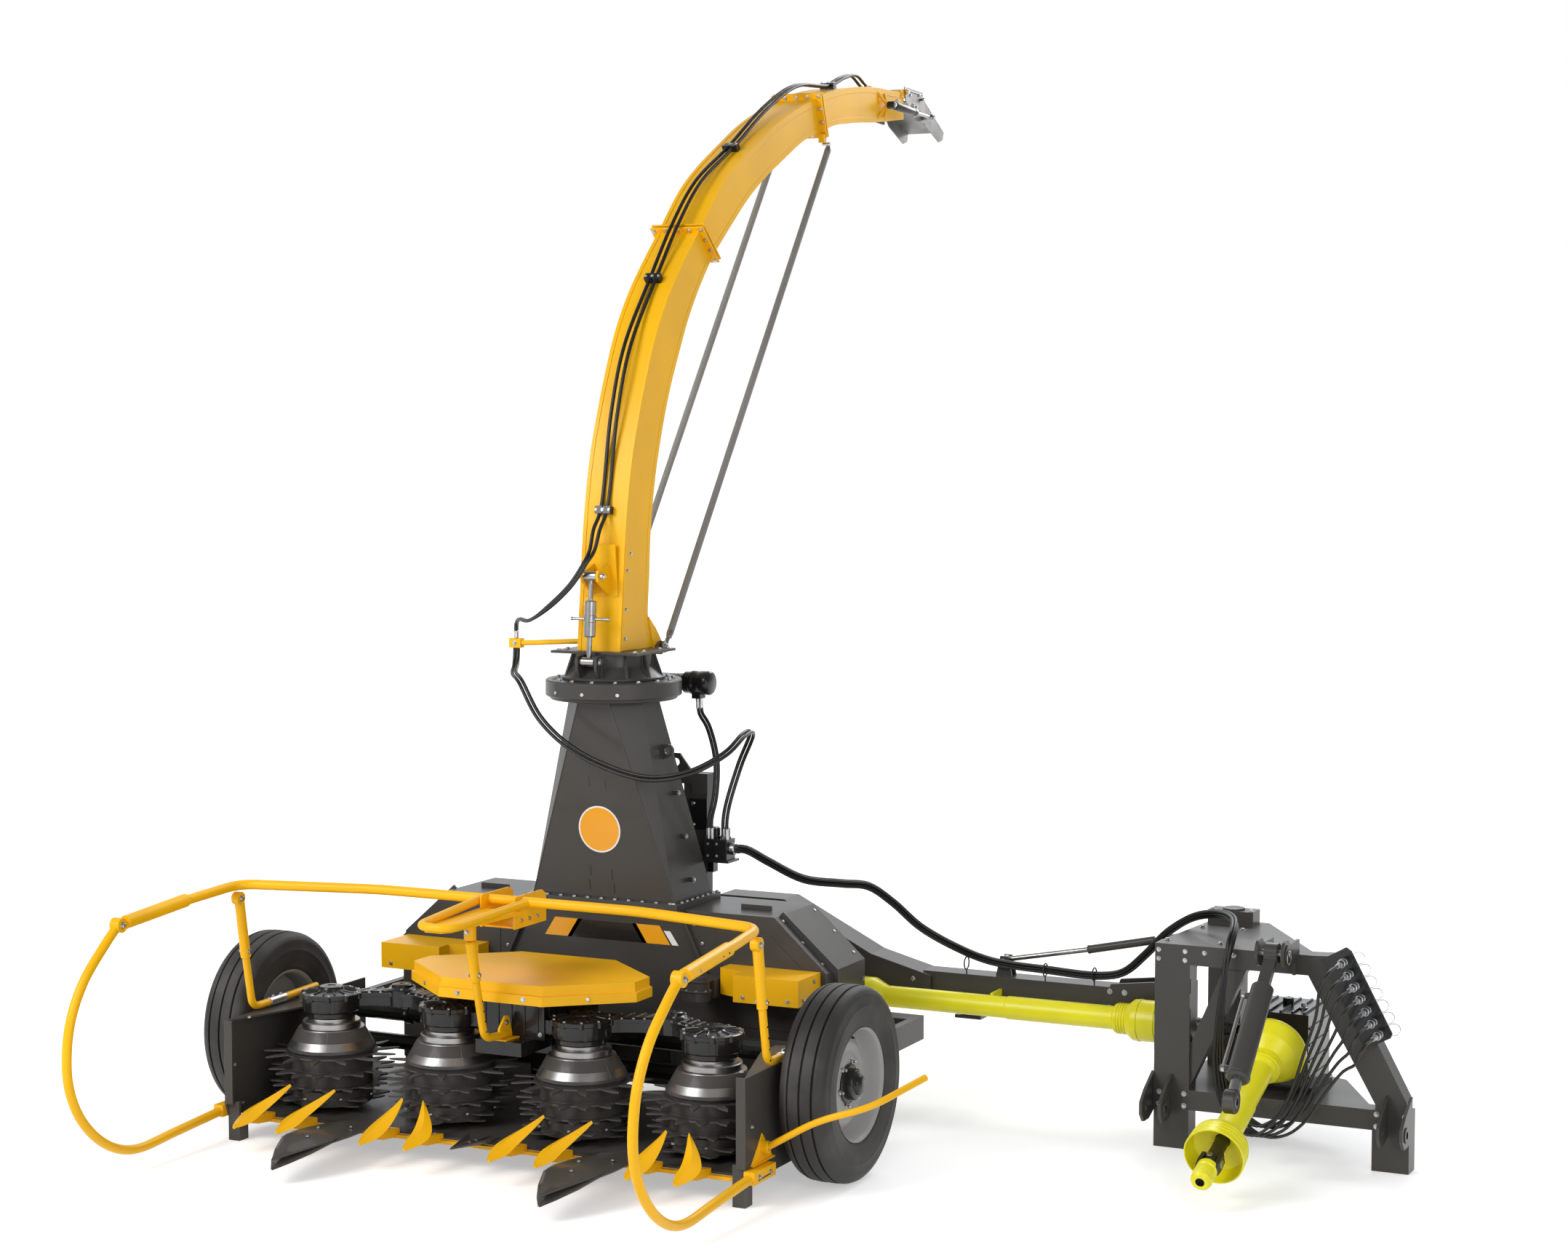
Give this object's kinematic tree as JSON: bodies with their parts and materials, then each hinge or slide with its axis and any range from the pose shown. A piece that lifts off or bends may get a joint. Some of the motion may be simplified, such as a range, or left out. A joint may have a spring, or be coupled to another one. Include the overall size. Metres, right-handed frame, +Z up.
{
  "type": "forage harvester",
  "caption": "Trailed row-independent forage harvester: rotor header with push bar, chopper housing, tower with slewing spout and deflector, wheels, drawbar and three-point headstock.",
  "frame": {"origin": "On the ground under the middle of the bounding box, cords left out.", "axes": "+X towards the drawbar and headstock side, +Y from the header back along the spout as it is parked, +Z up."},
  "size_m": [4.7, 5.3686, 4.6016],
  "materials": {
    "yellow_paint": "gloss baked enamel on welded steel",
    "lemon_plastic": "moulded polyethylene shaft guard",
    "graphite_paint": "satin dark grey enamel on welded steel",
    "black_paint": "gloss black enamel on cast housings",
    "deflector_steel": "grey painted sheet, worn by crop",
    "bright_steel": "bare or zinc plated steel",
    "stay_steel": "grey painted tube",
    "pto_steel": "forged yokes and drawn tube",
    "rim_paint": "silver grey enamel on pressed steel",
    "tyre_rubber": "tread and sidewall rubber",
    "hose_rubber": "hydraulic hose cover"
  },
  "bodies": {
    "chassis": {"header_floor": "graphite_paint", "crop_points": "yellow_paint", "side_panel_left": "graphite_paint", "side_panel_right": "graphite_paint", "gearcase_left": "black_paint", "gearcase_right": "black_paint", "gearbox_center": "black_paint", "drive_shield": "yellow_paint", "guard_left": "yellow_paint", "guard_right": "yellow_paint", "push_bar": "yellow_paint", "bar_loop_left": "yellow_paint", "bar_loop_right": "yellow_paint", "prop_left": "yellow_paint", "prop_right": "yellow_paint", "prop_center": "yellow_paint", "chopper_housing": "graphite_paint", "tower": "graphite_paint", "slew_ring": "graphite_paint", "slew_motor": "black_paint", "mast": "graphite_paint", "valve_block": "black_paint", "axle_frame": "graphite_paint", "drawbar": "graphite_paint", "output_gearbox": "black_paint", "headstock_frame": "graphite_paint", "headstock_gearbox": "black_paint", "coupler_holder": "black_paint", "cross_shaft_guard": "lemon_plastic", "hose_loop": "hose_rubber", "motor_hose": "hose_rubber", "hose_bundle": "hose_rubber", "drawbar_stay": "bright_steel", "side_lever": "yellow_paint"},
    "wheel_left": {"tyre_left": "tyre_rubber", "rim_left": "rim_paint"},
    "wheel_right": {"tyre_right": "tyre_rubber", "rim_right": "rim_paint"},
    "rotor_outer_left": {"rotor_outer_left": "bright_steel"},
    "rotor_inner_left": {"rotor_inner_left": "bright_steel"},
    "rotor_inner_right": {"rotor_inner_right": "bright_steel"},
    "rotor_outer_right": {"rotor_outer_right": "bright_steel"},
    "turret": {"turret": "graphite_paint"},
    "spout": {"spout_lower": "yellow_paint", "spout_middle": "yellow_paint", "spout_tip": "yellow_paint", "spout_stay_left": "stay_steel", "spout_stay_right": "stay_steel", "spout_hoses": "hose_rubber"},
    "turnbuckle_body": {"turnbuckle_body": "bright_steel"},
    "turnbuckle_rod": {"turnbuckle_rod": "bright_steel"},
    "deflector_flap": {"deflector_flap": "deflector_steel"},
    "deflector_tip": {"deflector_tip": "deflector_steel"},
    "deflector_barrel": {"deflector_barrel": "black_paint"},
    "deflector_rod": {"deflector_rod": "bright_steel"},
    "top_link": {"top_link_barrel": "graphite_paint", "top_link_rod": "bright_steel"},
    "pto_guard": {"pto_guard": "lemon_plastic"},
    "pto_shaft": {"pto_shaft": "pto_steel"},
    "cross_shaft": {"cross_shaft": "bright_steel"}
  },
  "joints": [
    {"name": "wheel_left_spin", "type": "hinge", "parent": "chassis", "child": "wheel_left", "pos_m": [-2.2525, -1.21472, 0.38], "axis": [1, 0, 0], "continuous": true},
    {"name": "wheel_right_spin", "type": "hinge", "parent": "chassis", "child": "wheel_right", "pos_m": [0.3925, -1.21472, 0.38], "axis": [1, 0, 0], "continuous": true},
    {"name": "rotor_outer_left_spin", "type": "hinge", "parent": "chassis", "child": "rotor_outer_left", "pos_m": [-1.807, -1.42772, 0.3], "axis": [0, 0, 1], "continuous": true},
    {"name": "rotor_inner_left_spin", "type": "hinge", "parent": "chassis", "child": "rotor_inner_left", "pos_m": [-1.233, -1.42772, 0.3], "axis": [0, 0, 1], "continuous": true},
    {"name": "rotor_inner_right_spin", "type": "hinge", "parent": "chassis", "child": "rotor_inner_right", "pos_m": [-0.627, -1.42772, 0.3], "axis": [0, 0, 1], "continuous": true},
    {"name": "rotor_outer_right_spin", "type": "hinge", "parent": "chassis", "child": "rotor_outer_right", "pos_m": [-0.053, -1.42772, 0.3], "axis": [0, 0, 1], "continuous": true},
    {"name": "spout_slew", "type": "hinge", "parent": "chassis", "child": "turret", "pos_m": [-0.93, -0.61772, 1.836], "axis": [0, 0, 1], "range_deg": [-120, 120]},
    {"name": "spout_tilt", "type": "hinge", "parent": "turret", "child": "spout", "pos_m": [-0.93, -0.41772, 1.958], "axis": [-1, 0, 0], "range_deg": [0, 12]},
    {"name": "turnbuckle_swing", "type": "hinge", "parent": "turret", "child": "turnbuckle_body", "pos_m": [-0.93, -0.82672, 1.919], "axis": [-1, 0, 0], "range_deg": [-2, 12]},
    {"name": "turnbuckle_stroke", "type": "slide", "parent": "turnbuckle_body", "child": "turnbuckle_rod", "axis": [0, 0.0678, 0.9977], "range_m": [-0.005, 0.1]},
    {"name": "deflector_fold", "type": "hinge", "parent": "spout", "child": "deflector_flap", "pos_m": [-0.93, 2.18428, 4.532], "axis": [-1, 0, 0], "range_deg": [0, 40]},
    {"name": "deflector_tip_fold", "type": "hinge", "parent": "deflector_flap", "child": "deflector_tip", "pos_m": [-0.93, 2.37028, 4.512], "axis": [-1, 0, 0], "range_deg": [0, 36.5]},
    {"name": "deflector_cylinder_swing", "type": "hinge", "parent": "spout", "child": "deflector_barrel", "pos_m": [-0.78, 1.91028, 4.44], "axis": [-1, 0, 0], "range_deg": [-2, 20]},
    {"name": "deflector_cylinder_stroke", "type": "slide", "parent": "deflector_barrel", "child": "deflector_rod", "axis": [0, -0.9995, 0.0328], "range_m": [0, 0.1]},
    {"name": "top_link_swing", "type": "hinge", "parent": "chassis", "child": "top_link", "pos_m": [1.83, -0.33272, 0.852], "axis": [-1, 0, 0], "range_deg": [0, 80]},
    {"name": "pto_swing", "type": "hinge", "parent": "chassis", "child": "pto_guard", "pos_m": [1.79, -0.20772, 0.43], "axis": [0, 0, 1], "range_deg": [-20, 20]},
    {"name": "pto_spin", "type": "hinge", "parent": "pto_guard", "child": "pto_shaft", "pos_m": [1.79, -0.20772, 0.43], "axis": [0, -0.9477, -0.3193], "continuous": true},
    {"name": "cross_shaft_spin", "type": "hinge", "parent": "chassis", "child": "cross_shaft", "pos_m": [0.57, 0.15228, 0.43], "axis": [1, 0, 0], "continuous": true}
  ],
  "couplings": [
    {"joint": "turnbuckle_swing", "follows": "spout_tilt", "ratio": 0.765},
    {"joint": "turnbuckle_stroke", "follows": "spout_tilt", "m_per_rad": 0.4005},
    {"joint": "deflector_tip_fold", "follows": "deflector_fold", "ratio": 0.9},
    {"joint": "deflector_cylinder_swing", "follows": "deflector_fold", "ratio": 0.433},
    {"joint": "deflector_cylinder_stroke", "follows": "deflector_fold", "m_per_rad": 0.1365}
  ]
}
